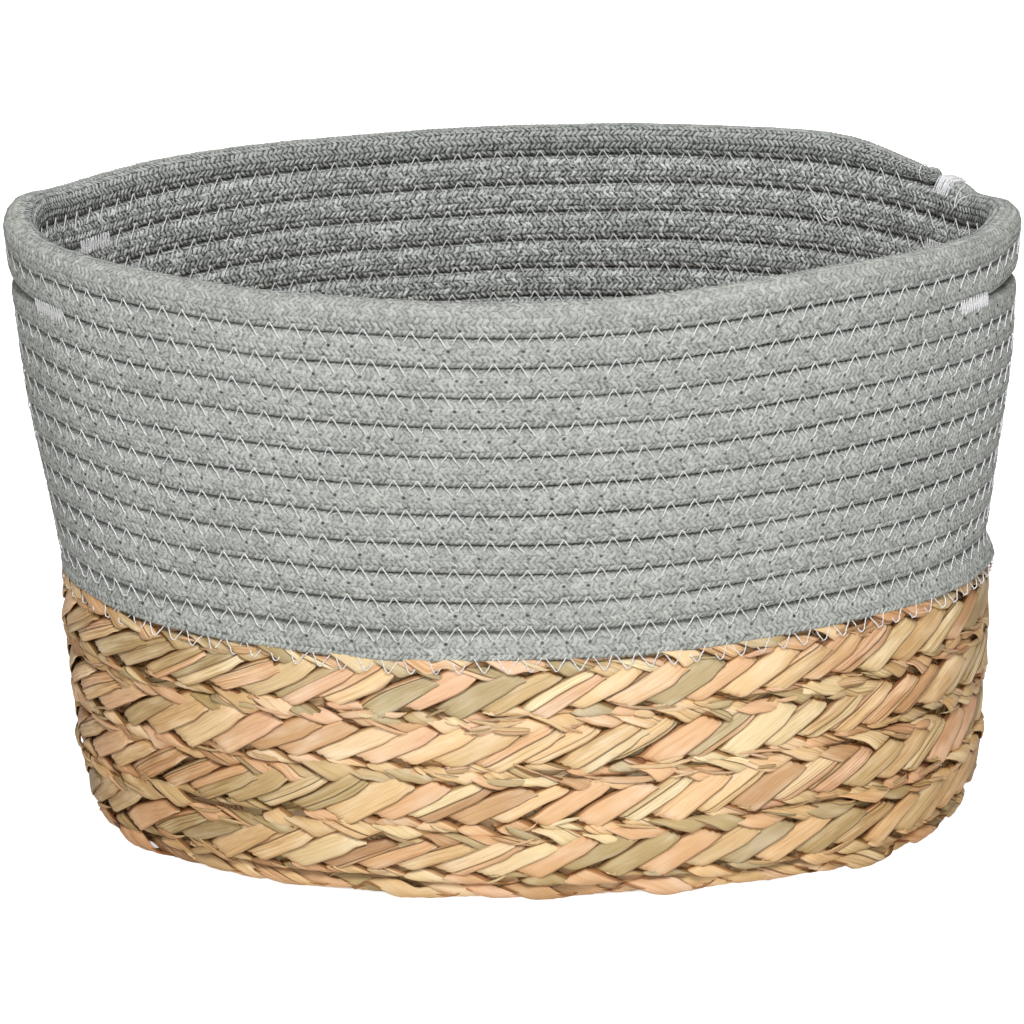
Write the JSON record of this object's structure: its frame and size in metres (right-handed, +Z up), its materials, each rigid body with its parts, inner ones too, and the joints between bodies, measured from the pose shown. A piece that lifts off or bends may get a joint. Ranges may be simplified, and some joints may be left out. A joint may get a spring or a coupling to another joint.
{
  "type": "oval storage basket",
  "caption": "Open oval basket of sewn cotton rope over a plaited straw wall and base, with a hand slot in each end.",
  "frame": {"origin": "on the floor, under the middle of the whole basket's bounding box", "axes": "+X along the long way of the oval, +Y across it towards the side where the rope ends, +Z up out of the opening"},
  "size_m": [0.2999, 0.2055, 0.1889],
  "materials": {
    "cotton_rope": "matt braided cotton, grey-green",
    "straw_plait": "dry plaited seagrass, straw to pinkish and olive, satin",
    "white_thread": "white sewing thread"
  },
  "bodies": {
    "root": {"rope_wall": "cotton_rope", "braided_wall": "straw_plait", "braided_base": "straw_plait", "slot_tack_right_back_outer": "white_thread", "slot_tack_right_back_inner": "white_thread", "slot_tack_right_front_outer": "white_thread", "slot_tack_right_front_inner": "white_thread", "slot_tack_left_front_outer": "white_thread", "slot_tack_left_front_inner": "white_thread", "slot_tack_left_back_outer": "white_thread", "slot_tack_left_back_inner": "white_thread"}
  },
  "joints": []
}
